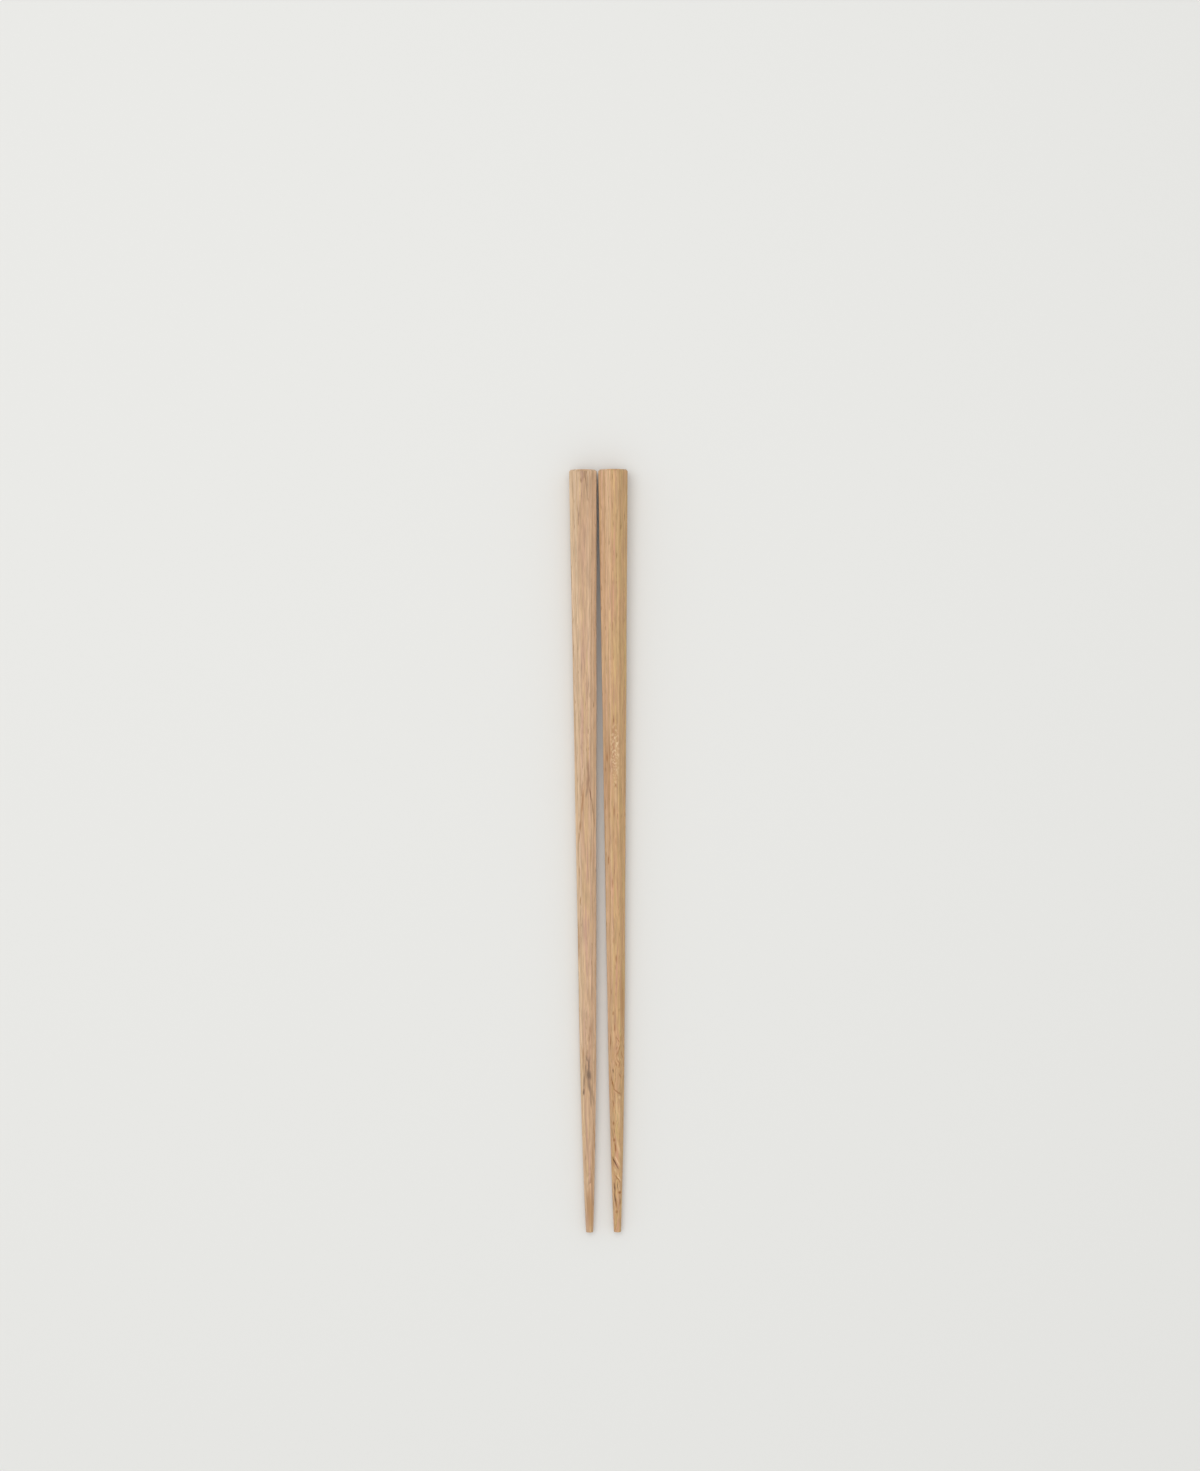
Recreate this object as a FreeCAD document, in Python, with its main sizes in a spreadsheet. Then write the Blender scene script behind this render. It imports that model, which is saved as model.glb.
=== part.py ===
# Two octagonal wooden chopsticks, lying side by side with their tips the same way.
# Millimetres. +Y runs from the tips to the heads, +Z is up, and both lie on Z = 0.
# Each stick is shaped the way it is made by hand: a square blank is sawn, a plane takes it
# down to eight facets that taper to the tip, and then its long edges and its ends are eased.

import FreeCAD, Part
import math
import os
import Sketcher

os.makedirs("parts", exist_ok=True)
doc = FreeCAD.newDocument("Chopsticks")

# Driving dimensions. Widths are across the flats, from one facet to the opposite one.
driving_dimensions = [
    ("stick_length", 230, "from the tip to the head"),
    ("left_head_width", 8.4, "left stick at its head"),
    ("right_head_width", 8.9, "right stick at its head, which is planed a little fuller"),
    ("shoulder_width", 5.13, "where the straight taper ends and the tip taper starts"),
    ("tip_width", 2.2, "at the tip"),
    ("tip_taper_length", 60, "from the tip to the shoulder"),
    ("facet_count", 8, "facets planed round each stick"),
    ("edge_radius", 0.3, "rounding of the long edges between two facets"),
    ("head_bevel", 0.5, "bevel round the end of the head"),
    ("tip_rounding", 0.25, "rounding round the end of the tip"),
    ("head_gap", 0.4, "clear space between the two heads"),
    ("tip_gap", 6.2, "clear space between the two tips"),
]
sizes = doc.addObject("Spreadsheet::Sheet", "sizes")
for row, (alias, value, note) in enumerate(driving_dimensions, start=1):
    sizes.set(f"A{row}", alias)
    sizes.set(f"B{row}", str(value))
    sizes.setAlias(f"B{row}", alias)
    sizes.set(f"C{row}", note)
doc.recompute()


# How a sketch numbers the ends of a line or an arc, and its own origin.
line_start, line_end = range(1, 3)
sketch_origin = (-1, 1)


def origin_feature(body, role):
    return next(feature for feature in body.Origin.OriginFeatures if feature.Role == role)


def add_sketch(body, name, plane_role):
    sketch = body.newObject("Sketcher::SketchObject", name)
    sketch.AttachmentSupport = (origin_feature(body, plane_role), [""])
    sketch.MapMode = "FlatFace"
    return sketch


# A dimension of the sketch that follows the sheet. It starts at the size drawn.
def add_size(sketch, name, formula, kind, *where):
    index = sketch.addConstraint(Sketcher.Constraint(kind, *where))
    sketch.renameConstraint(index, name)
    sketch.setExpression(f"Constraints.{name}", formula)


# The square blank, as wide as the head and centred on the stick's axis. The sketch's own X and Y
# are the stick's X and Z.
def saw_blank(body, name, head_width):
    half_side = sizes.get(head_width) / 2
    corner_signs = [(-1, -1), (1, -1), (1, 1), (-1, 1)]
    corners = [FreeCAD.Vector(half_side * x, half_side * z, 0) for x, z in corner_signs]
    sketch = add_sketch(body, f"{name}_blank_section", "XZ_Plane")
    bottom, right, top, left = range(4)
    for side in (bottom, right, top, left):
        sketch.addGeometry(Part.LineSegment(corners[side], corners[(side + 1) % 4]))
    for side in (bottom, right, top, left):
        next_side = (side + 1) % 4
        sketch.addConstraint(
            Sketcher.Constraint("Coincident", side, line_end, next_side, line_start)
        )
        direction = "Horizontal" if side in (bottom, top) else "Vertical"
        sketch.addConstraint(Sketcher.Constraint(direction, side))
    sketch.addConstraint(
        Sketcher.Constraint("Symmetric", bottom, line_start, top, line_start, *sketch_origin)
    )
    sketch.addConstraint(Sketcher.Constraint("Equal", bottom, right))
    add_size(sketch, "side", f"sizes.{head_width}",
             "DistanceX", bottom, line_start, bottom, line_end, 2 * half_side)

    blank = body.newObject("PartDesign::Pad", f"{name}_blank")
    blank.Profile = sketch
    blank.Reversed = True
    blank.setExpression("Length", "sizes.stick_length")
    doc.recompute()
    return blank


# The arc of the tip taper: it ends at the shoulder, in line with the straight taper, and its
# centre is where the normal at the shoulder meets the chord's perpendicular bisector.
def tip_arc(tip, shoulder, head):
    taper = (head - shoulder).normalize()
    normal = FreeCAD.Vector(-taper.y, taper.x, 0)
    chord = tip - shoulder
    radius = chord.dot(chord) / (2 * chord.dot(normal))
    centre = shoulder + normal * radius
    start = math.atan2(tip.y - centre.y, tip.x - centre.x)
    end = math.atan2(shoulder.y - centre.y, shoulder.x - centre.x)
    circle = Part.Circle(centre, FreeCAD.Vector(0, 0, 1), radius)
    return Part.ArcOfCircle(circle, start, end)


# The waste that comes off under the lower facet. Its upper edge is the facet seen from the
# side: straight from the head to the shoulder, then rounded up to the tip. It goes as deep as
# the head is wide, which is past the blank's corners.
def plane_facets(body, name, head_width):
    reach = sizes.get(head_width)
    head = FreeCAD.Vector(sizes.stick_length, -sizes.get(head_width) / 2, 0)
    shoulder = FreeCAD.Vector(sizes.tip_taper_length, -sizes.shoulder_width / 2, 0)
    tip = FreeCAD.Vector(0, -sizes.tip_width / 2, 0)
    below_tip = FreeCAD.Vector(0, -reach, 0)
    below_head = FreeCAD.Vector(sizes.stick_length, -reach, 0)
    sketch = add_sketch(body, f"{name}_facet_profile", "YZ_Plane")
    straight = sketch.addGeometry(Part.LineSegment(head, shoulder))
    arc = sketch.addGeometry(tip_arc(tip, shoulder, head))
    tip_side = sketch.addGeometry(Part.LineSegment(tip, below_tip))
    bottom = sketch.addGeometry(Part.LineSegment(below_tip, below_head))
    head_side = sketch.addGeometry(Part.LineSegment(below_head, head))
    for constraint in [
        ("Tangent", straight, line_end, arc, line_end),
        ("Coincident", arc, line_start, tip_side, line_start),
        ("Coincident", tip_side, line_end, bottom, line_start),
        ("Coincident", bottom, line_end, head_side, line_start),
        ("Coincident", head_side, line_end, straight, line_start),
        ("Vertical", tip_side, line_start, *sketch_origin),
        ("Vertical", tip_side),
        ("Horizontal", bottom),
        ("Vertical", head_side),
    ]:
        sketch.addConstraint(Sketcher.Constraint(*constraint))
    # Heights are measured up to the stick's axis, and lengths from the tip.
    add_size(sketch, "head_half_width", f"sizes.{head_width} / 2",
             "DistanceY", straight, line_start, *sketch_origin, -head.y)
    add_size(sketch, "shoulder_half_width", "sizes.shoulder_width / 2",
             "DistanceY", straight, line_end, *sketch_origin, -shoulder.y)
    add_size(sketch, "tip_half_width", "sizes.tip_width / 2",
             "DistanceY", tip_side, line_start, *sketch_origin, -tip.y)
    add_size(sketch, "waste_depth", f"sizes.{head_width}",
             "DistanceY", bottom, line_start, *sketch_origin, reach)
    add_size(sketch, "tip_taper_length", "sizes.tip_taper_length",
             "DistanceX", *sketch_origin, straight, line_end, shoulder.x)
    add_size(sketch, "stick_length", "sizes.stick_length",
             "DistanceX", *sketch_origin, straight, line_start, head.x)
    doc.recompute()

    first_facet = body.newObject("PartDesign::Pocket", f"{name}_first_facet")
    first_facet.Profile = sketch
    first_facet.SideType = "Symmetric"
    first_facet.Type = "ThroughAll"
    doc.recompute()

    facets = body.newObject("PartDesign::PolarPattern", f"{name}_facets")
    facets.Originals = [first_facet]
    facets.Axis = (origin_feature(body, "Y_Axis"), [""])
    facets.Angle = 360
    facets.setExpression("Occurrences", "sizes.facet_count")
    body.Tip = facets
    doc.recompute()
    return facets


# The edges round one end of the stick, in the plane Y = end_y.
def end_edges(feature, end_y):
    boxes = [edge.BoundBox for edge in feature.Shape.Edges]
    return [
        f"Edge{number}"
        for number, box in enumerate(boxes, start=1)
        if round(box.YMin - end_y, 3) == 0 and round(box.YMax - end_y, 3) == 0
    ]


# The edges along the stick, which are all longer than what eases its two ends.
def long_edges(feature):
    boxes = [edge.BoundBox for edge in feature.Shape.Edges]
    eased = sizes.head_bevel + sizes.tip_rounding
    return [f"Edge{number}" for number, box in enumerate(boxes, start=1) if box.YLength > eased]


def ease(body, kind, name, base, edges, size_property, alias):
    easing = body.newObject(f"PartDesign::{kind}", name)
    easing.Base = (base, edges)
    easing.setExpression(size_property, f"sizes.{alias}")
    body.Tip = easing
    doc.recompute()
    return easing


# Each lower facet lies on Z = 0, so a stick is tipped by the slope of its straight taper.
# It turns about the vertical to join its place at the tips to its place at the heads.
def lay_down(body, head_width, other_head_width, side):
    slope = (
        f"(sizes.{head_width} - sizes.shoulder_width) / 2"
        " / (sizes.stick_length - sizes.tip_taper_length)"
    )
    tip_x = f"{side} * (sizes.tip_gap + sizes.tip_width) / 2"
    head_x = f"{side} * (sizes.head_gap + sizes.{other_head_width}) / 2"
    height = f"(sizes.shoulder_width / 2 - sizes.tip_taper_length * {slope}) * cos(atan({slope}))"
    turn = f"asin(({tip_x} - {head_x}) / sizes.stick_length)"
    place = f"vector({tip_x}; -sizes.stick_length / 2; {height})"
    body.setExpression("Placement", f"placement({place}; rotation({turn}; 0; atan({slope})))")


def make_chopstick(name, head_width, other_head_width, side):
    body = doc.addObject("PartDesign::Body", name)
    saw_blank(body, name, head_width)
    facets = plane_facets(body, name, head_width)
    tip = ease(body, "Fillet", f"{name}_tip", facets, end_edges(facets, 0),
               "Radius", "tip_rounding")
    head = ease(body, "Chamfer", f"{name}_head", tip, end_edges(tip, sizes.stick_length),
                "Size", "head_bevel")
    ease(body, "Fillet", f"{name}_edges", head, long_edges(head), "Radius", "edge_radius")
    lay_down(body, head_width, other_head_width, side)
    return body


chopsticks = [
    make_chopstick("left_chopstick", "left_head_width", "right_head_width", -1),
    make_chopstick("right_chopstick", "right_head_width", "left_head_width", 1),
]
doc.recompute()

for item in doc.Objects:
    if "Invalid" in item.State or "Error" in item.State:
        raise RuntimeError(f"{item.Label} did not recompute: {item.State}")
for stick in chopsticks:
    if stick.Shape.isNull() or not stick.Shape.isValid():
        raise RuntimeError(f"{stick.Label} has no valid shape")

for stick in chopsticks:
    stick.Shape.exportStep(f"parts/{stick.Label}.step")
    box = stick.Shape.optimalBoundingBox(False)
    print(stick.Label, "volume", round(stick.Shape.Volume, 1),
          "X", round(box.XMin, 3), round(box.XMax, 3),
          "Y", round(box.YMin, 3), round(box.YMax, 3),
          "Z", round(box.ZMin, 3), round(box.ZMax, 3))
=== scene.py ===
# A pair of octagonal chopsticks, planed by hand from chestnut and waxed, on a pale floor.
# The frame is in metres. The sticks' own sizes are in millimetres, as a maker gives them.

import functools
import math

import bpy
from mathutils import Euler, Matrix, Vector


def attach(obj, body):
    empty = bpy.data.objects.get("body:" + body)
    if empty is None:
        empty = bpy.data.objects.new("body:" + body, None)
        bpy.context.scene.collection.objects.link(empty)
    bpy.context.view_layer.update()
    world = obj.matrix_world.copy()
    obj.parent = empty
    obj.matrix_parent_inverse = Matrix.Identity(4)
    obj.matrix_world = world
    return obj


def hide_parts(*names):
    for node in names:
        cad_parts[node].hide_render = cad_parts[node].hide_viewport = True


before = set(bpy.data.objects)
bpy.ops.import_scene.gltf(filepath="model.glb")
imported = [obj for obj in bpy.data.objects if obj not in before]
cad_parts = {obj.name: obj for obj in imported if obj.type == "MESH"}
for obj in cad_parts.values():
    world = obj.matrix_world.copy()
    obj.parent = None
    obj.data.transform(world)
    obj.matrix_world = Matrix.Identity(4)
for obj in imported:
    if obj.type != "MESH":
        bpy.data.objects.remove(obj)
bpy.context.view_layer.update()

mm = 0.001


# sRGB hex to the linear colour that Blender's sockets hold.
def toLinear(hexColour):
    channels = [int(hexColour[place:place + 2], 16) / 255 for place in (1, 3, 5)]
    linear = [c / 12.92 if c <= 0.04045 else ((c + 0.055) / 1.055) ** 2.4 for c in channels]
    return (*linear, 1.0)


# Adds one node. Settings are its own properties, and feeds are values, sockets or nodes for its
# inputs, by name or number. A node given as a feed stands for its first output.
def addNode(tree, kind, feeds=None, **settings):
    node = tree.nodes.new(kind)
    for name, value in settings.items():
        setattr(node, name, value)
    for place, feed in (feeds or {}).items():
        if isinstance(feed, bpy.types.Node):
            feed = feed.outputs[0]
        if isinstance(feed, bpy.types.NodeSocket):
            tree.links.new(feed, node.inputs[place])
        else:
            node.inputs[place].default_value = feed
    return node


# The stick that both are planed to. Widths are across the flats.
stickSizes = {
    "Length": 230,
    "Shoulder Width": 5.13,  # where the straight taper ends and the tip taper starts
    "Tip Width": 2.2,
    "Tip Taper": 60,
    "Edge Rounding": 0.3,
    "Tip Rounding": 0.25,
    "Head Bevel": 0.5,
    "Bevel Softness": 0.1,  # how softly the bevel starts
    "Planing Depth": 0.11,  # most that a facet is planed below its true height
    "Planing Stroke": 26,  # length over which the plane's depth wanders
}
facetCount = 8
pairSpacing = {"headGap": 0.4, "tipGap": 6.2}

# How unevenly the facets are planed.
planing = {
    "unlikeness": 1.3,  # how far apart in the noise two facets lie
    "detail": 1.5,
    "noiseRange": (0.28, 0.72),  # the noise at which a facet is planed least and most
}

# How finely a stick is divided.
division = {
    "rows": 500,
    "capRows": 12,  # past the last row at each end, to close it
    "columnsPerFacet": 20,
    "flatShare": 0.7,  # part of a facet's columns on its flat, the rest goes round its two edges
    "crowding": 0.9,  # how much closer the rows stand at the two ends
    "weld": 0.0001,
}


# The tree that planes a stick. A flat grid is wrapped round the stick's axis: across the grid
# the points run round the facets, along it they run from the tip to the head.
def buildFacetPlaner():
    tree = bpy.data.node_groups.new("planeFacets", "GeometryNodeTree")
    tree.interface.new_socket(name="Stick", in_out="OUTPUT", socket_type="NodeSocketGeometry")
    for name in (*stickSizes, "Head Width"):
        socket = tree.interface.new_socket(name=name, in_out="INPUT", socket_type="NodeSocketFloat")
        socket.subtype = "DISTANCE"
    for name in ("Facets", "Seed"):
        tree.interface.new_socket(name=name, in_out="INPUT", socket_type="NodeSocketInt")
    tree.interface.new_socket(name="Wood", in_out="INPUT", socket_type="NodeSocketMaterial")

    add = functools.partial(addNode, tree)
    given = add("NodeGroupInput").outputs
    rows, capRows, flatShare = division["rows"], division["capRows"], division["flatShare"]

    columns = add("ShaderNodeMath", {0: given["Facets"], 1: division["columnsPerFacet"], 2: 1},
                  operation="MULTIPLY_ADD")
    grid = add("GeometryNodeMeshGrid", {
        "Size X": given["Facets"],
        "Size Y": 1 + 2 * capRows / rows,
        "Vertices X": columns,
        "Vertices Y": rows + 2 * capRows + 1,
    })
    place = add("ShaderNodeSeparateXYZ", {0: add("GeometryNodeInputPosition")}).outputs

    # Round the stick: which facet, and how far across it from -1 to 1.
    facet = add("ShaderNodeMath", {0: place["X"]}, operation="ROUND")
    offCentre = add("ShaderNodeMath", {0: place["X"], 1: facet}, operation="SUBTRACT")
    across = add("ShaderNodeMath", {0: offCentre, 1: 2}, operation="MULTIPLY")
    onFlat = add("ShaderNodeMapRange", {0: across, 1: -flatShare, 2: flatShare, 3: -1, 4: 1})
    roundEdge = add("ShaderNodeMath", {0: onFlat, 1: -flatShare, 2: across},
                    operation="MULTIPLY_ADD")
    edgeShare = add("ShaderNodeMath", {0: roundEdge, 1: 1 - flatShare}, operation="DIVIDE")
    facetTurn = add("ShaderNodeMath", {0: 2 * math.pi, 1: given["Facets"]}, operation="DIVIDE")
    halfTurn = add("ShaderNodeMath", {0: facetTurn, 1: 2}, operation="DIVIDE")
    ownTurn = add("ShaderNodeMath", {0: facet, 1: facetTurn}, operation="MULTIPLY")
    towardsBeside = add("ShaderNodeMath", {0: across}, operation="SIGN")
    besideFacet = add("ShaderNodeMath", {0: facet, 1: towardsBeside})
    besideTurn = add("ShaderNodeMath", {0: besideFacet, 1: facetTurn}, operation="MULTIPLY")
    edgeTurn = add("ShaderNodeMath", {0: edgeShare, 1: halfTurn, 2: ownTurn},
                   operation="MULTIPLY_ADD")

    # Along the stick: rows crowd towards both ends, and the rows past them close the caps.
    share = add("ShaderNodeMath", {0: place["Y"], 1: 0.5})
    inside = add("ShaderNodeClamp", {"Value": share})
    outside = add("ShaderNodeMath", {0: share, 1: inside}, operation="SUBTRACT")
    capShare = add("ShaderNodeMath", {0: outside, 1: rows / capRows}, operation="MULTIPLY")
    capSquare = add("ShaderNodeMath", {0: capShare, 1: capShare}, operation="MULTIPLY")
    capScale = add("ShaderNodeMath", {0: 1, 1: capSquare}, operation="SUBTRACT")
    oneTurn = add("ShaderNodeMath", {0: inside, 1: 2 * math.pi}, operation="MULTIPLY")
    wave = add("ShaderNodeMath", {0: oneTurn}, operation="SINE")
    crowded = add("ShaderNodeMath", {0: wave, 1: -division["crowding"] / (2 * math.pi), 2: inside},
                  operation="MULTIPLY_ADD")
    fromTip = add("ShaderNodeMath", {0: crowded, 1: given["Length"]}, operation="MULTIPLY")

    # Half the width at each row: the straight taper, less the rounded tip taper and the ends.
    halves = {}
    for name in ("Shoulder Width", "Head Width", "Tip Width"):
        halves[name] = add("ShaderNodeMath", {0: given[name], 1: 2}, operation="DIVIDE")
    taper = {1: given["Tip Taper"], 2: given["Length"], 3: halves["Shoulder Width"],
             4: halves["Head Width"]}
    straight = add("ShaderNodeMapRange", {0: fromTip, **taper}, clamp=False)
    straightAtTip = add("ShaderNodeMapRange", {0: 0, **taper}, clamp=False)
    tipDrop = add("ShaderNodeMath", {0: straightAtTip, 1: halves["Tip Width"]},
                  operation="SUBTRACT")
    towardsTip = add("ShaderNodeMapRange", {0: fromTip, 1: given["Tip Taper"], 2: 0, 3: 0, 4: 1})
    tipCurve = add("ShaderNodeMath", {0: towardsTip, 1: 2}, operation="POWER")
    drop = add("ShaderNodeMath", {0: tipCurve, 1: tipDrop}, operation="MULTIPLY")
    halfWidth = add("ShaderNodeMath", {0: straight, 1: drop}, operation="SUBTRACT")

    tipShare = add("ShaderNodeMapRange", {0: fromTip, 1: 0, 2: given["Tip Rounding"], 3: 1, 4: 0})
    tipSquare = add("ShaderNodeMath", {0: tipShare, 1: 2}, operation="POWER")
    tipLeft = add("ShaderNodeMath", {0: 1, 1: tipSquare}, operation="SUBTRACT")
    tipRise = add("ShaderNodeMath", {0: tipLeft}, operation="SQRT")
    tipInset = add("ShaderNodeMath", {0: 1, 1: tipRise}, operation="SUBTRACT")
    tipTaken = add("ShaderNodeMath", {0: tipInset, 1: given["Tip Rounding"]},
                   operation="MULTIPLY")
    toHead = add("ShaderNodeMath", {0: given["Length"], 1: fromTip}, operation="SUBTRACT")
    bevelLeft = add("ShaderNodeMath", {0: given["Head Bevel"], 1: toHead}, operation="SUBTRACT")
    headTaken = add("ShaderNodeMath", {0: bevelLeft, 1: 0, 2: given["Bevel Softness"]},
                    operation="SMOOTH_MAX")
    ends = add("ShaderNodeMath", {0: tipTaken, 1: headTaken})
    eased = add("ShaderNodeMath", {0: halfWidth, 1: ends}, operation="SUBTRACT")
    toRounding = add("ShaderNodeMath", {0: eased, 1: given["Edge Rounding"]},
                     operation="SUBTRACT")

    # Each facet is planed to its own depth, which wanders along the stick, so the edges between
    # facets wander too, as a plane leaves them.
    least, most = planing["noiseRange"]
    planed = []
    for turn in (ownTurn, besideTurn):
        facing = add("ShaderNodeVectorRotate", {
            "Vector": (0, 0, planing["unlikeness"]), "Angle": turn,
        }, rotation_type="Y_AXIS")
        strokes = add("ShaderNodeMath", {0: fromTip, 1: given["Planing Stroke"]},
                      operation="DIVIDE")
        alongStick = add("ShaderNodeCombineXYZ", {"Y": strokes})
        spot = add("ShaderNodeVectorMath", {0: facing, 1: alongStick})
        wander = add("ShaderNodeTexNoise", {
            "Vector": spot, "W": given["Seed"], "Scale": 1, "Detail": planing["detail"],
        }, noise_dimensions="4D")
        depth = add("ShaderNodeMapRange", {0: wander, 1: least, 2: most, 3: 0,
                                           4: given["Planing Depth"]})
        planed.append(add("ShaderNodeMath", {0: toRounding, 1: depth}, operation="SUBTRACT"))

    # Where the flats of two facets meet, and the point's place on its flat and its rounding.
    own, beside = planed
    straightDown = add("ShaderNodeMath", {0: facetTurn}, operation="COSINE")
    sideways = add("ShaderNodeMath", {0: facetTurn}, operation="SINE")
    shared = add("ShaderNodeMath", {0: own, 1: straightDown}, operation="MULTIPLY")
    cutOff = add("ShaderNodeMath", {0: beside, 1: shared}, operation="SUBTRACT")
    flatHalf = add("ShaderNodeMath", {0: cutOff, 1: sideways}, operation="DIVIDE")
    acrossFlat = add("ShaderNodeMath", {0: flatHalf, 1: onFlat}, operation="MULTIPLY")
    flatPoint = add("ShaderNodeVectorRotate", {
        "Vector": add("ShaderNodeCombineXYZ", {"X": acrossFlat, "Z": own}),
        "Angle": ownTurn,
    }, rotation_type="Y_AXIS")
    edgePoint = add("ShaderNodeVectorRotate", {
        "Vector": add("ShaderNodeCombineXYZ", {"Z": given["Edge Rounding"]}),
        "Angle": edgeTurn,
    }, rotation_type="Y_AXIS")
    section = add("ShaderNodeVectorMath", {0: flatPoint, 1: edgePoint})
    point = add("ShaderNodeVectorMath", {
        0: section,
        1: add("ShaderNodeCombineXYZ", {"X": capScale, "Z": capScale}),
        2: add("ShaderNodeCombineXYZ", {"Y": fromTip}),
    }, operation="MULTIPLY_ADD")

    # What the wood's material needs to know: how near an eased edge, and where the end grain is.
    marked = grid
    for name, signed in (("easedEdge", edgeShare), ("endGrain", capShare)):
        amount = add("ShaderNodeMath", {0: signed}, operation="ABSOLUTE")
        marked = add("GeometryNodeStoreNamedAttribute", {"Geometry": marked, "Name": name,
                                                         "Value": amount})
    wrapped = add("GeometryNodeSetPosition", {"Geometry": marked, "Position": point})
    closed = add("GeometryNodeMergeByDistance", {"Geometry": wrapped,
                                                 "Distance": division["weld"] * mm})
    smooth = add("GeometryNodeSetShadeSmooth", {"Geometry": closed})
    real = add("GeometryNodeRealizeInstances", {"Geometry": smooth})
    waxed = add("GeometryNodeSetMaterial", {"Geometry": real, "Material": given["Wood"]})
    add("NodeGroupOutput", {0: waxed})
    return tree


# Where a stick lies: its lower facet on the floor, its tip and its head at their spacings.
def lieOnFloor(stick):
    straightLength = stickSizes["Length"] - stickSizes["Tip Taper"]
    slope = (stick["headWidth"] - stickSizes["Shoulder Width"]) / 2 / straightLength
    tipX = stick["side"] * (pairSpacing["tipGap"] + stickSizes["Tip Width"]) / 2
    headX = stick["side"] * (pairSpacing["headGap"] + stick["otherHeadWidth"]) / 2
    tipHalf = stickSizes["Shoulder Width"] / 2 - stickSizes["Tip Taper"] * slope
    height = tipHalf * math.cos(math.atan(slope))
    turn = math.asin((tipX - headX) / stickSizes["Length"])
    tipCentre = Vector((tipX, -stickSizes["Length"] / 2, height)) * mm
    return tipCentre, Euler((math.atan(slope), 0, turn))


# How high the surface stands above the stick's axis, to set a mark on the upper facets. Beside
# the top facet it falls off at 45 degrees.
def surfaceHeight(fromTip, across, headWidth):
    taper = stickSizes["Tip Taper"]
    slope = (headWidth - stickSizes["Shoulder Width"]) / 2 / (stickSizes["Length"] - taper)
    straight = stickSizes["Shoulder Width"] / 2 + slope * (fromTip - taper)
    drop = stickSizes["Shoulder Width"] / 2 - slope * taper - stickSizes["Tip Width"] / 2
    halfWidth = straight - drop * max(0, 1 - fromTip / taper) ** 2
    return min(halfWidth, math.sqrt(2) * halfWidth - abs(across))


# Patterns in the wood: grain size across and along the stick in millimetres, detail, roughness,
# and a shift that keeps one noise from following another.
woodPatterns = {
    "drift": (7, 42, 1, 0.5, 7),
    "curl": (3.2, 6.5, 1, 0.5, 3.2),
    "tones": (0.62, 14, 3, 0.5, 3),
    "broad": (2.6, 45, 1, 0.5, 9),
    "streaks": (0.38, 7.5, 2, 0.6, 13),
    "fibres": (0.15, 5, 2, 0.6, 17),  # coarser than real fibres, which wouldn't show
    "veinBreaks": (1.4, 12, 2, 0.5, 23),
    "vessels": (0.2, 2.8, 1, 0.5, 31),
    "fraying": (0.5, 1.7, 2, 0.5, 41),
    "speckle": (0.55, 0.8, 1, 0.5, 47),
}
noiseMiddle = (0.5, 0.5, 0.5)
shiftSlant = 0.37  # how much of a shift goes along the stick

# The noise at which a pattern starts and the noise at which it is full, by the Map Range node's
# own input numbers.
patternRanges = {
    "tones": {1: 0.36, 2: 0.64},
    "broad": {1: 0.35, 2: 0.65},
    "streaks": {1: 0.3, 2: 0.7},
    "fibres": {1: 0.3, 2: 0.7},
    "veinBreaks": {1: 0.34, 2: 0.6},
    "vessels": {1: 0.61, 2: 0.7},
    "speckle": {1: 0.46, 2: 0.62},
}
curlFade = 14  # length over which the curled grain runs out
fibreContrast = 0.07

# Ages in a year's ring, from 0 where it starts to 1 where it ends.
ringAges = {
    "veinEnds": 0.09,
    "vesselsThin": (0.06, 0.4),
    "lateWood": (0.35, 0.98),
}
lateVessels = 0.25  # share of the vessels that the late wood has

# A mark in the wood fades from its core to its rim, as shares of its half length and width.
mark = {
    "core": 0.25,
    "rim": 1.25,
    "depth": 1.2,  # how far it goes above and below the surface
    "frayedByNoise": (0.35, 0.9, 0),  # how far its outline wanders, across and along
    "frayedByFibres": (0.3, 0.8, 0),
}

# The waxed surface: satin on the facets, smoother on the edges, duller in the open vessels.
wax = {
    "facetRoughness": 0.5,
    "edgeRoughness": 0.42,
    "vesselRoughness": 0.2,
    "endGrainDarkening": 0.55,
    "endGrainRim": 0.15,  # share of the end's rows over which the darkening sets in
    "vesselDepth": 0.9,
    "reliefStrength": 0.6,
    "reliefHeight": 0.03,
}


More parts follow.
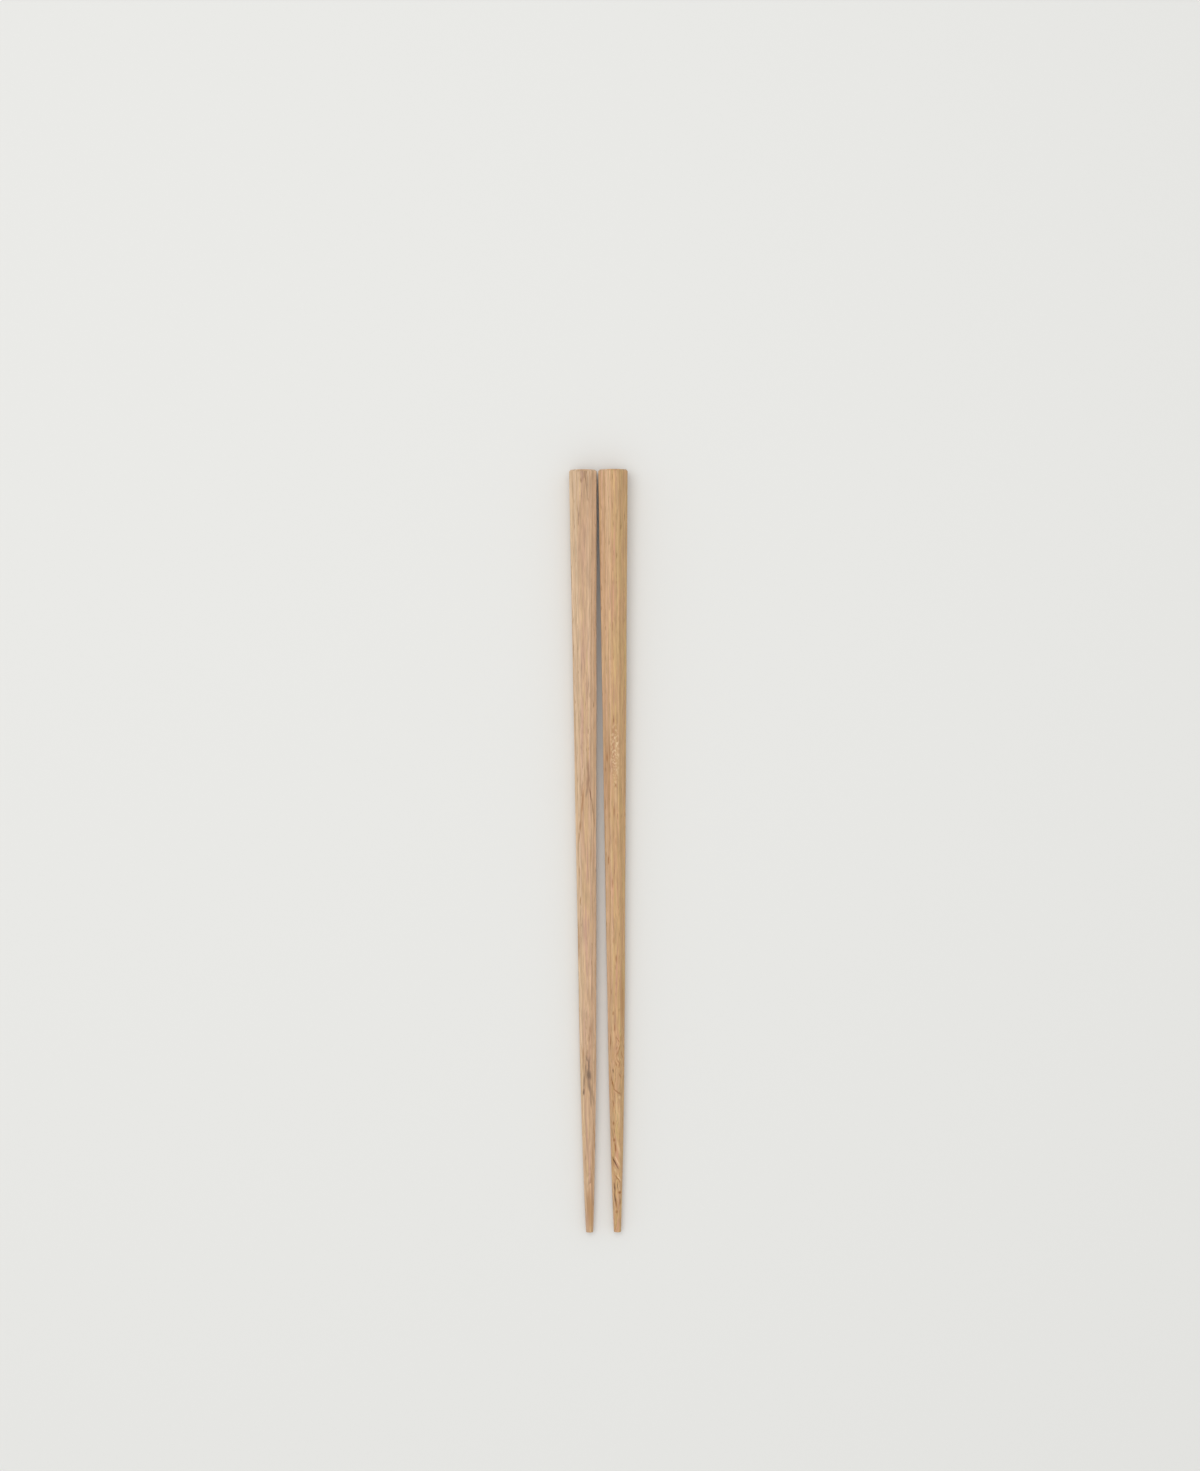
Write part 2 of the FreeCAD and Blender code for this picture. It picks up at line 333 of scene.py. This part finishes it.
# Chestnut is ring porous: each year's ring starts with a row of wide vessels, which the plane
# cuts into fine brown dashes, and ends in smooth dense wood. The wax leaves a satin sheen.
# The rings are circles about a pith that lies outside the stick.
def waxedChestnut(stick):
    wood = stick["wood"]
    material = bpy.data.materials.new(stick["material"])
    material.use_nodes = True
    tree = material.node_tree
    tree.nodes.clear()
    add = functools.partial(addNode, tree)
    tipCentre, lean = lieOnFloor(stick)

    # The stick's own millimetres: X across, Y from the tip, Z up.
    place = add("ShaderNodeMapping", {
        "Vector": add("ShaderNodeTexCoord").outputs["Object"],
        "Location": tipCentre, "Rotation": lean, "Scale": (mm, mm, mm),
    }, vector_type="TEXTURE")
    along = add("ShaderNodeSeparateXYZ", {0: place}).outputs["Y"]

    def grain(source, pattern):
        size, length, detail, roughness, shift = woodPatterns[pattern]
        stretched = add("ShaderNodeMapping", {
            "Vector": source, "Location": (shift, shift * shiftSlant, wood["seed"]),
            "Scale": (1 / size, 1 / length, 1 / size),
        })
        return add("ShaderNodeTexNoise", {"Vector": stretched, "Scale": 1, "Detail": detail,
                                          "Roughness": roughness})

    # The grain drifts slowly everywhere, and curls where a knot was near.
    curlIn = add("ShaderNodeMapRange", {0: along, 1: wood["curlEnd"] + curlFade,
                                        2: wood["curlEnd"], 3: 0, 4: 1},
                 interpolation_type="SMOOTHSTEP")
    bends = []
    for pattern, strength in (("drift", None), ("curl", curlIn)):
        sideways, upwards = wood[pattern]
        noise = grain(place, pattern)
        centred = add("ShaderNodeVectorMath", {0: noise.outputs["Color"], 1: noiseMiddle},
                      operation="SUBTRACT")
        bend = add("ShaderNodeVectorMath", {0: centred, 1: (sideways, 0, upwards)},
                   operation="MULTIPLY")
        if strength:
            bend = add("ShaderNodeVectorMath", {0: bend, "Scale": strength}, operation="SCALE")
        bends.append(bend)
    drifted = add("ShaderNodeVectorMath", {0: place, 1: bends[0]})
    curled = add("ShaderNodeVectorMath", {0: drifted, 1: bends[1]})

    # Rings, counted outwards from the pith. Age goes from 0 to 1 through each.
    pithX, pithZ = wood["pith"]
    fromPith = add("ShaderNodeVectorMath", {0: curled, 1: (1, 0, 1), 2: (-pithX, 0, -pithZ)},
                   operation="MULTIPLY_ADD")
    radius = add("ShaderNodeVectorMath", {0: fromPith}, operation="LENGTH").outputs["Value"]
    rings = add("ShaderNodeMath", {0: radius, 1: 1 / wood["ringWidth"], 2: wood["ringStart"]},
                operation="MULTIPLY_ADD")
    age = add("ShaderNodeMath", {0: rings}, operation="FRACT")

    # Streaks of two tones, under a millimetre wide, with finer streaks and fibres on them.
    tones = add("ShaderNodeMapRange", {0: grain(curled, "tones"), **patternRanges["tones"]})
    broad = add("ShaderNodeMapRange", {0: grain(curled, "broad"), **patternRanges["broad"]})
    streaks = grain(curled, "streaks")
    fibres = grain(curled, "fibres")
    colour = add("ShaderNodeMix", {0: tones, 6: toLinear(wood["rosy"]), 7: toLinear(wood["honey"])},
                 data_type="RGBA").outputs[2]
    warmth = add("ShaderNodeMath", {0: broad, 1: wood["broadAmount"]}, operation="MULTIPLY")
    colour = add("ShaderNodeMix", {0: warmth, 6: colour, 7: toLinear(wood["broadTone"])},
                 data_type="RGBA").outputs[2]
    # Each side takes its own tone: partly the wood's own colour, partly painted light and painted
    # shade that set how bright the slanted side facets look.
    side = add("ShaderNodeSeparateXYZ", {0: curled}).outputs["X"]
    for tone, start, full, amount in wood["sideTonesAndPaintedLight"]:
        towardsSideToneAndLight = add("ShaderNodeMapRange", {0: side, 1: start, 2: full, 3: 0, 4: amount},
                          interpolation_type="SMOOTHSTEP")
        colour = add("ShaderNodeMix", {0: towardsSideToneAndLight, 6: colour, 7: toLinear(tone)},
                     data_type="RGBA").outputs[2]

    # Late in each ring the wood is a little darker, and a vein marks where the next one starts.
    start, end = ringAges["lateWood"]
    lateWood = add("ShaderNodeMapRange", {0: age, 1: start, 2: end, 3: 0, 4: wood["lateAmount"]},
                   interpolation_type="SMOOTHSTEP")
    colour = add("ShaderNodeMix", {0: lateWood, 6: colour, 7: toLinear(wood["late"])},
                 data_type="RGBA").outputs[2]
    veinEdge = add("ShaderNodeMapRange", {0: age, 1: 0, 2: ringAges["veinEnds"], 3: 1, 4: 0},
                   interpolation_type="SMOOTHSTEP")
    veinBreaks = add("ShaderNodeMapRange", {0: grain(curled, "veinBreaks"),
                                            **patternRanges["veinBreaks"]})
    vein = add("ShaderNodeMath", {0: veinEdge, 1: veinBreaks}, operation="MULTIPLY")
    veinAmount = add("ShaderNodeMath", {0: vein, 1: wood["veinAmount"]}, operation="MULTIPLY")
    colour = add("ShaderNodeMix", {0: veinAmount, 6: colour, 7: toLinear(wood["vein"])},
                 data_type="RGBA").outputs[2]

    # Streaks and fibres lighten and darken the whole.
    streakLight = add("ShaderNodeMapRange", {0: streaks, **patternRanges["streaks"],
                                             3: 1 - wood["streaks"], 4: 1 + wood["streaks"]})
    fibreLight = add("ShaderNodeMapRange", {0: fibres, **patternRanges["fibres"],
                                            3: 1 - fibreContrast, 4: 1 + fibreContrast})
    light = add("ShaderNodeMath", {0: streakLight, 1: fibreLight}, operation="MULTIPLY")
    colour = add("ShaderNodeVectorMath", {0: colour, "Scale": light}, operation="SCALE")

    # Vessels: 0.2 mm wide and a few millimetres long, crowded in the early wood.
    start, end = ringAges["vesselsThin"]
    vesselRows = add("ShaderNodeMapRange", {0: age, 1: start, 2: end, 3: 1, 4: lateVessels})
    dashes = add("ShaderNodeMapRange", {0: grain(curled, "vessels"), **patternRanges["vessels"]})
    vessels = add("ShaderNodeMath", {0: dashes, 1: vesselRows}, operation="MULTIPLY")
    vesselAmount = add("ShaderNodeMath", {0: vessels, 1: wood["vesselAmount"]},
                       operation="MULTIPLY")
    colour = add("ShaderNodeMix", {0: vesselAmount, 6: colour, 7: toLinear(wood["vessel"])},
                 data_type="RGBA").outputs[2]

    # Marks of this very piece of wood: mineral streaks, flecks of the rays and knot grain, and on
    # the left stick two dark lines that are painted shadow along the side facets' outer edges. Each
    # is a soft spindle on an upper facet, frayed by a fine noise and by the fibres.
    frayed = place
    for noise, amount in (
        (grain(place, "fraying"), mark["frayedByNoise"]),
        (fibres, mark["frayedByFibres"]),
    ):
        centred = add("ShaderNodeVectorMath", {0: noise.outputs["Color"], 1: noiseMiddle},
                      operation="SUBTRACT")
        frayed = add("ShaderNodeVectorMath", {0: centred, 1: amount, 2: frayed},
                     operation="MULTIPLY_ADD")
    speckle = add("ShaderNodeMapRange", {0: grain(frayed, "speckle"), **patternRanges["speckle"]})
    for fromTip, across, length, width, turn, amount, tone in wood["marks"]:
        height = surfaceHeight(fromTip, across, stick["headWidth"])
        spindle = add("ShaderNodeMapping", {
            "Vector": frayed, "Location": (across, fromTip, height),
            "Rotation": (0, 0, math.radians(turn)),
            "Scale": (width / 2, length / 2, mark["depth"]),
        }, vector_type="TEXTURE")
        reach = add("ShaderNodeVectorMath", {0: spindle}, operation="LENGTH").outputs["Value"]
        strength = add("ShaderNodeMapRange", {0: reach, 1: mark["rim"], 2: mark["core"], 3: 0,
                                              4: amount}, interpolation_type="SMOOTHSTEP")
        if tone == "fleck":
            strength = add("ShaderNodeMath", {0: strength, 1: speckle}, operation="MULTIPLY")
        colour = add("ShaderNodeMix", {0: strength, 6: colour, 7: toLinear(wood["tones"][tone])},
                     data_type="RGBA").outputs[2]

    # End grain drinks more wax and is darker. The eased edges are rubbed smooth.
    endGrain = add("ShaderNodeAttribute", attribute_name="endGrain").outputs["Fac"]
    easedEdge = add("ShaderNodeAttribute", attribute_name="easedEdge").outputs["Fac"]
    endAmount = add("ShaderNodeMapRange", {0: endGrain, 1: 0, 2: wax["endGrainRim"], 3: 0,
                                           4: wax["endGrainDarkening"]})
    colour = add("ShaderNodeMix", {0: endAmount, 6: colour, 7: toLinear(wood["vein"])},
                 data_type="RGBA").outputs[2]
    rubbed = add("ShaderNodeMapRange", {0: easedEdge, 1: 0, 2: 1, 3: wax["facetRoughness"],
                                        4: wax["edgeRoughness"]})
    roughness = add("ShaderNodeMath", {0: vessels, 1: wax["vesselRoughness"], 2: rubbed},
                    operation="MULTIPLY_ADD")

    # A fine relief: raised fibres, and vessels that the wax has not filled.
    raised = add("ShaderNodeMath", {0: vessels, 1: -wax["vesselDepth"], 2: fibres},
                 operation="MULTIPLY_ADD")
    relief = add("ShaderNodeBump", {"Height": raised, "Strength": wax["reliefStrength"],
                                    "Distance": wax["reliefHeight"] * mm})
    surface = add("ShaderNodeBsdfPrincipled", {
        "Base Color": colour, "Roughness": roughness, "IOR": 1.5, "Specular IOR Level": 0.4,
        "Normal": relief,
    })
    add("ShaderNodeOutputMaterial", {"Surface": surface})
    return material


leftStick = {
    "piece": "leftChopstick",
    "node": "left_chopstick",
    "slot": "pale_wood",
    "material": "paleWaxedChestnut",
    "headWidth": 8.4,
    "otherHeadWidth": 8.9,
    "side": -1,
    "planingSeed": 7,
    "wood": {
        "seed": 2.3,
        "pith": (0.4, -9.0),  # right below the stick, so the upper facet shows pointed arches
        "ringWidth": 0.86,
        "ringStart": -14.27,  # moves all the rings in or out, in ring widths
        "drift": (0.5, 0.12),  # how far the grain wanders, across and up
        "curl": (0.5, 0.05),
        "curlEnd": 0,  # the grain curls from the tip to here
        "rosy": "#BC937C",
        "honey": "#CEAD7F",
        "broadTone": "#C8A486",
        "broadAmount": 0.5,
        # tone, where across the stick it starts, where it is full, amount. Both side facets are
        # lighter, partly the wood's paler tone and partly painted light that lifts the shaded side
        # facets
        "sideTonesAndPaintedLight": [("#E0C4A2", -0.4, -2.2, 0.65), ("#DEC0A0", 0.6, 1.7, 0.65)],
        "streaks": 0.19,  # how much lighter and darker they are than the rest
        "late": "#BC9672",
        "lateAmount": 0.5,
        "vein": "#80593A",
        "veinAmount": 0.6,
        "vessel": "#7E5836",
        "vesselAmount": 0.7,
        "tones": {"mineral": "#78604B", "brown": "#A27348", "dark": "#5C4330",
                  "pale": "#DDBB97", "honey": "#CBA470", "amber": "#B98F62",
                  "umber": "#8A6449"},
        # from the tip, across, length, width, turn in degrees, amount, tone, the last on top
        "marks": [
            (145.0, 0.85, 8.0, 0.5, 0, 0.45, "honey"),
            (144.5, 0.0, 12.0, 0.9, 0, 0.65, "pale"),
            (138.5, 0.05, 8.0, 0.5, -2, 0.2, "pale"),
            (137.8, -0.8, 7.0, 0.8, -4, 0.7, "pale"),
            (141.0, 2.4, 13.0, 0.9, 0, 0.55, "pale"),
            (140.9, -0.6, 5.0, 0.7, -2, 0.45, "pale"),
            (140.0, 0.75, 6.0, 0.5, -2, 0.6, "umber"),
            (136.2, 0.75, 7.0, 1.1, -4, 0.65, "umber"),
            (132.6, 0.2, 3.4, 0.81, -8, 0.45, "mineral"),
            (132.4, 1.45, 5.6, 0.46, 8, 0.9, "umber"),
            (128.2, 2.1, 6.0, 0.46, 6, 0.7, "umber"),
            (124.4, 2.5, 4.6, 0.40, 4, 0.3, "brown"),
            (130.6, -0.9, 8.4, 0.8, -5, 0.75, "brown"),
            (126.5, -1.35, 6.0, 0.8, -4, 0.45, "brown"),
            (122.8, -1.75, 4.4, 0.9, -4, 0.65, "brown"),
            (119.4, -2.1, 4.0, 0.46, -5, 0.6, "brown"),
            (128.5, -2.5, 5.0, 0.5, 0, 0.5, "pale"),
            (114.0, 1.4, 6.0, 0.8, 0, 0.4, "brown"),
            (109.0, -2.1, 4.0, 0.46, 0, 0.5, "brown"),
            (104.0, -1.1, 6.0, 0.8, 0, 0.3, "umber"),
            (100.2, -1.9, 3.0, 0.46, -6, 0.7, "brown"),
            (92.0, 1.2, 5.0, 0.5, 0, 0.4, "honey"),
            (68.0, -0.3, 4.0, 0.4, -12, 0.5, "pale"),
            (75.5, 0.0, 6.0, 0.9, 0, 0.5, "pale"),
            (61.2, 0.76, 3.4, 0.57, 0, 0.5, "brown"),
            (71.3, 0.5, 9.0, 0.9, 3, 0.25, "umber"),
            (59.5, 0.65, 12.0, 1.2, -2, 0.36, "umber"),
            (54.0, -1.5, 5.0, 0.7, 0, 0.6, "brown"),
            (52.6, -0.35, 2.2, 0.68, 24, 0.6, "mineral"),
            (50.9, -1.55, 5.0, 0.7, -3, 0.5, "umber"),
            (50.6, 0.2, 5.4, 0.66, -3, 0.9, "mineral"),
            (49.6, -0.7, 3.6, 0.68, -4, 0.45, "mineral"),
            (47.7, 0.15, 4.0, 1.9, 6, 0.95, "mineral"),
            (44.9, 0.15, 4.6, 0.9, 5, 0.7, "mineral"),
            (43.0, 0.6, 5.0, 0.81, 7, 0.55, "mineral"),
            (39.8, 0.75, 5.0, 0.8, 3, 0.5, "mineral"),
            (41.4, 1.35, 6.0, 0.8, 6, 0.45, "mineral"),
            (45.9, -1.25, 5.6, 0.68, -5, 0.65, "mineral"),
            (42.7, -1.4, 2.3, 0.57, -2, 1.0, "dark"),
            (36.0, -0.4, 12.0, 0.8, 0, 0.45, "pale"),
            # painted shadow: a dark brown line along the left facet's outer edge, where it turns
            # away into shade
            (88.0, -2.5, 16.0, 0.7, 0, 0.6, "brown"),
            (28.6, 0.85, 8.0, 0.8, 0, 0.45, "pale"),
            # painted shadow: a dark brown line along the right facet's outer edge, where it turns
            # away into shade
            (28.0, 1.75, 14.0, 0.4, 3, 0.7, "brown"),
            (22.0, 1.25, 18.0, 0.9, 4, 0.35, "amber"),
            (15.0, 0.95, 12.0, 0.8, 4, 0.45, "amber"),
            (15.0, -0.5, 8.0, 1.3, 0, 0.45, "pale"),
            (6.5, 0.35, 15.0, 2.6, 3, 0.9, "amber"),
            (7.5, -0.25, 10.0, 1.7, 0, 0.22, "umber"),
        ],
    },
}

rightStick = {
    "piece": "rightChopstick",
    "node": "right_chopstick",
    "slot": "tan_wood",
    "material": "tanWaxedChestnut",
    "headWidth": 8.9,
    "otherHeadWidth": 8.4,
    "side": 1,
    "planingSeed": 12,
    "wood": {
        "seed": 8.1,
        "pith": (-30.0, 4.0),  # off to one side, so the upper facet is cut along the rays
        "ringWidth": 1.15,
        "ringStart": 0.2,
        "drift": (0.7, 0.7),
        "curl": (2.4, 1.6),
        "curlEnd": 54,
        "rosy": "#C39172",
        "honey": "#CAA970",
        "broadTone": "#C69E74",
        "broadAmount": 0.5,
        # The left side is lighter, partly the wood and partly painted light against the other
        # stick's shade; the right side is darker and more olive, partly a streak in the wood and
        # partly painted shade.
        "sideTonesAndPaintedLight": [("#DDBB9A", -0.5, -1.9, 0.6), ("#B99A6C", 0.3, 1.4, 0.5)],
        "streaks": 0.16,
        "late": "#BB9264",
        "lateAmount": 0.5,
        "vein": "#875B34",
        "veinAmount": 0.8,
        "vessel": "#7F5630",
        "vesselAmount": 0.75,
        "tones": {"brown": "#986434", "dark": "#654020", "pale": "#E2C093",
                  "fleck": "#E2C49C"},
        # as on the left stick
        "marks": [
            (147.5, 0.0, 19.0, 3.2, 0, 0.42, "brown"),
            (145.5, 0.5, 13.0, 1.6, 0, 0.25, "pale"),
            (144.5, 0.05, 22.0, 3.0, 0, 0.72, "fleck"),
            (145.8, 0.35, 9.0, 2.2, 0, 0.6, "fleck"),
            (145.2, -1.3, 7.0, 0.8, 0, 0.4, "brown"),
            (139.0, -2.2, 34.0, 3.0, 0, 0.3, "brown"),
            (143.5, -2.3, 3.6, 0.57, 0, 0.7, "brown"),
            (134.9, 0.3, 1.4, 0.57, 0, 0.8, "brown"),
            (131.5, 0.3, 6.0, 0.7, 0, 0.4, "pale"),
            (127.0, -0.3, 3.4, 0.7, 0, 0.5, "brown"),
            (118.0, 0.2, 3.0, 0.46, 0, 0.4, "brown"),
            (112.5, -2.1, 3.6, 0.46, 0, 0.8, "brown"),
            (105.5, -0.9, 3.4, 0.57, 0, 0.5, "brown"),
            (91.0, -1.9, 8.0, 0.40, 0, 0.2, "brown"),
            (91.0, -1.5, 8.0, 0.35, 0, 0.5, "pale"),
            (88.2, -0.7, 2.4, 0.80, 0, 0.35, "brown"),
            (82.8, 0.1, 2.8, 0.57, 0, 0.65, "brown"),
            (70.0, 1.9, 18.0, 1.8, 0, 0.38, "brown"),
            (66.3, -0.9, 1.3, 0.63, 0, 0.65, "brown"),
            (61.9, -0.5, 2.4, 0.57, -5, 0.7, "brown"),
            (65.5, -1.5, 12.0, 0.7, 0, 0.4, "pale"),
            (58.0, -1.75, 5.0, 0.46, 0, 0.7, "brown"),
            (58.3, 0.5, 2.2, 0.5, 38, 0.65, "brown"),
            (58.6, 1.4, 3.0, 0.6, -6, 0.5, "brown"),
            (56.3, 0.3, 2.4, 0.5, -20, 0.7, "brown"),
            (56.2, 1.1, 2.4, 0.5, -8, 0.6, "brown"),
            (56.6, 0.45, 1.6, 0.6, 10, 0.4, "pale"),
            (54.2, 0.3, 2.8, 0.5, -24, 0.6, "brown"),
            (53.8, 1.6, 3.0, 0.5, 10, 0.6, "brown"),
            (52.1, 0.4, 2.6, 0.5, 25, 0.75, "brown"),
            (52.6, 0.5, 1.8, 0.6, 0, 0.35, "pale"),
            (50.8, 0.8, 2.4, 0.5, -20, 0.5, "brown"),
            (51.0, -0.1, 2.4, 0.5, 16, 0.65, "brown"),
            (49.0, -1.0, 1.4, 0.55, 12, 0.8, "dark"),
            (47.5, 1.1, 2.4, 0.6, 25, 0.7, "brown"),
            (45.3, -1.25, 4.4, 0.52, 14, 0.9, "brown"),
            (42.7, 0.15, 3.6, 0.52, 50, 0.9, "brown"),
            (40.9, 0.9, 1.4, 1.0, 0, 0.5, "pale"),
            (37.5, 0.0, 9.0, 0.7, 0, 0.5, "pale"),
            (34.5, 0.8, 8.0, 0.8, 0, 0.4, "pale"),
            (39.0, -1.0, 3.0, 0.5, 12, 0.7, "brown"),
            (33.0, -1.0, 1.4, 0.69, 0, 0.8, "brown"),
            (29.8, -1.3, 5.0, 0.55, 11, 0.35, "dark"),
            (28.0, -0.8, 1.2, 0.9, 0, 0.9, "brown"),
            (25.8, -0.5, 3.4, 0.55, 8, 1.0, "brown"),
            (25.4, 0.55, 6.0, 0.9, 14, 0.55, "pale"),
            (21.2, -0.6, 5.4, 0.55, 28, 1.0, "dark"),
            (21.6, 0.1, 5.0, 0.5, 28, 0.8, "pale"),
            (19.2, -0.8, 3.0, 0.7, 24, 0.6, "pale"),
            (16.4, 0.1, 3.4, 0.5, 34, 0.9, "brown"),
            (16.4, 0.7, 3.2, 0.5, 34, 0.9, "pale"),
            (13.8, -0.8, 3.2, 0.55, 6, 0.85, "dark"),
            (14.0, 0.15, 3.0, 0.5, 5, 0.6, "dark"),
            (13.6, 0.6, 2.4, 0.4, 8, 0.8, "pale"),
            (12.2, 0.8, 1.0, 1.2, 0, 1.0, "brown"),
            (10.3, -0.6, 5.0, 0.55, 9, 0.85, "dark"),
            (10.6, 0.25, 3.0, 0.4, 5, 0.4, "pale"),
            (9.2, 0.85, 2.4, 0.6, 0, 0.6, "brown"),
            (8.4, -0.3, 2.6, 0.7, 9, 0.75, "brown"),
            (6.3, -0.1, 1.2, 0.9, 0, 0.8, "brown"),
        ],
    },
}


# Planes one stick, makes it a plain mesh and lays it in its place.
def makeStick(stick, planer):
    name = stick["piece"]
    piece = bpy.data.objects.new(name, bpy.data.meshes.new(name))
    bpy.context.scene.collection.objects.link(piece)
    modifier = piece.modifiers.new("planeFacets", "NODES")
    modifier.node_group = planer
    values = {title: size * mm for title, size in stickSizes.items()}
    values["Head Width"] = stick["headWidth"] * mm
    values["Facets"] = facetCount
    values["Seed"] = stick["planingSeed"]
    values["Wood"] = waxedChestnut(stick)
    for item in planer.interface.items_tree:
        if item.item_type == "SOCKET" and item.in_out == "INPUT":
            modifier[item.identifier] = values[item.name]
    bpy.context.view_layer.update()
    evaluated = piece.evaluated_get(bpy.context.evaluated_depsgraph_get())
    mesh = bpy.data.meshes.new_from_object(evaluated)
    piece.modifiers.remove(modifier)
    tipCentre, lean = lieOnFloor(stick)
    mesh.transform(Matrix.Translation(tipCentre) @ lean.to_matrix().to_4x4())
    piece.data = mesh
    piece.data.name = name
    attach(piece, "root")
    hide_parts(stick["node"])
    print(name, len(mesh.polygons), "faces")


planer = buildFacetPlaner()
makeStick(leftStick, planer)
makeStick(rightStick, planer)
print("sticks planed and laid down")


# The floor, the light and the camera, in metres.
studio = {
    "floorColour": "#E7E7E4",
    "floorReach": 3.0,
    "backdropColour": "#E9E9E8",
    "skyLevel": 0.68,  # even light from all round
    "lampLevel": 0.33,  # what the soft lamp adds on the floor under it
    "lampFrom": (-0.18, 0.20, 1.15),  # upper left, as the shadows show
    "lampSize": 1.1,
    "lens": 81.2,
    "cameraPlace": (-0.00004, 0.03496, 1.004),
    "cameraTurn": -0.39,  # degrees
}


# Matt pale board, which takes a soft shadow and hardly shines.
def makeFloor():
    mesh = bpy.data.meshes.new("floor")
    reach = studio["floorReach"]
    corners = [(x * reach, y * reach, 0) for x, y in ((-1, -1), (1, -1), (1, 1), (-1, 1))]
    mesh.from_pydata(corners, [], [(0, 1, 2, 3)])
    floor = bpy.data.objects.new("floor", mesh)
    bpy.context.scene.collection.objects.link(floor)
    material = bpy.data.materials.new("mattPaleBoard")
    material.use_nodes = True
    tree = material.node_tree
    tree.nodes.clear()
    surface = addNode(tree, "ShaderNodeBsdfPrincipled", {
        "Base Color": toLinear(studio["floorColour"]), "Roughness": 0.9,
        "Specular IOR Level": 0.2,
    })
    addNode(tree, "ShaderNodeOutputMaterial", {"Surface": surface})
    mesh.materials.append(material)


# Even light from the world, which the camera and reflections see as a pale backdrop.
def makeWorld():
    world = bpy.data.worlds.new("paleStudio")
    world.use_nodes = True
    tree = world.node_tree
    tree.nodes.clear()
    rays = addNode(tree, "ShaderNodeLightPath").outputs
    seen = addNode(tree, "ShaderNodeMath", {0: rays["Is Camera Ray"], 1: rays["Is Glossy Ray"]},
                   operation="MAXIMUM")
    seenThrough = addNode(tree, "ShaderNodeMath", {0: seen, 1: rays["Is Transmission Ray"]},
                          operation="MAXIMUM")
    light = addNode(tree, "ShaderNodeBackground", {"Color": (1, 1, 1, 1),
                                                   "Strength": studio["skyLevel"]})
    backdrop = addNode(tree, "ShaderNodeBackground", {"Color": toLinear(studio["backdropColour"]),
                                                      "Strength": 1})
    mixed = addNode(tree, "ShaderNodeMixShader", {0: seenThrough, 1: light, 2: backdrop})
    addNode(tree, "ShaderNodeOutputWorld", {"Surface": mixed})
    bpy.context.scene.world = world


# One wide soft lamp. Its power is worked out from its distance, size and slant, so that it
# lights a level floor at the lamp's level.
def makeLamp():
    place = Vector(studio["lampFrom"])
    lamp = bpy.data.lights.new("softLamp", "AREA")
    lamp.shape = "DISK"
    lamp.size = studio["lampSize"]
    reach = place.length_squared + (studio["lampSize"] / 2) ** 2
    slant = place.normalized().z
    lamp.energy = studio["lampLevel"] * math.pi ** 2 * reach / slant
    holder = bpy.data.objects.new("softLamp", lamp)
    holder.location = place
    holder.rotation_euler = place.to_track_quat("Z", "Y").to_euler()
    bpy.context.scene.collection.objects.link(holder)


# Straight above the pair, turned a little, as the photograph was taken.
def makeCamera():
    camera = bpy.data.cameras.new("fromAbove")
    camera.lens = studio["lens"]
    camera.clip_start = 0.01
    camera.clip_end = 20
    holder = bpy.data.objects.new("fromAbove", camera)
    holder.location = studio["cameraPlace"]
    holder.rotation_euler = (0, 0, math.radians(studio["cameraTurn"]))
    bpy.context.scene.collection.objects.link(holder)
    bpy.context.scene.camera = holder


makeFloor()
makeWorld()
makeLamp()
makeCamera()
bpy.context.scene.view_settings.view_transform = "Standard"
print("floor, light and camera placed")
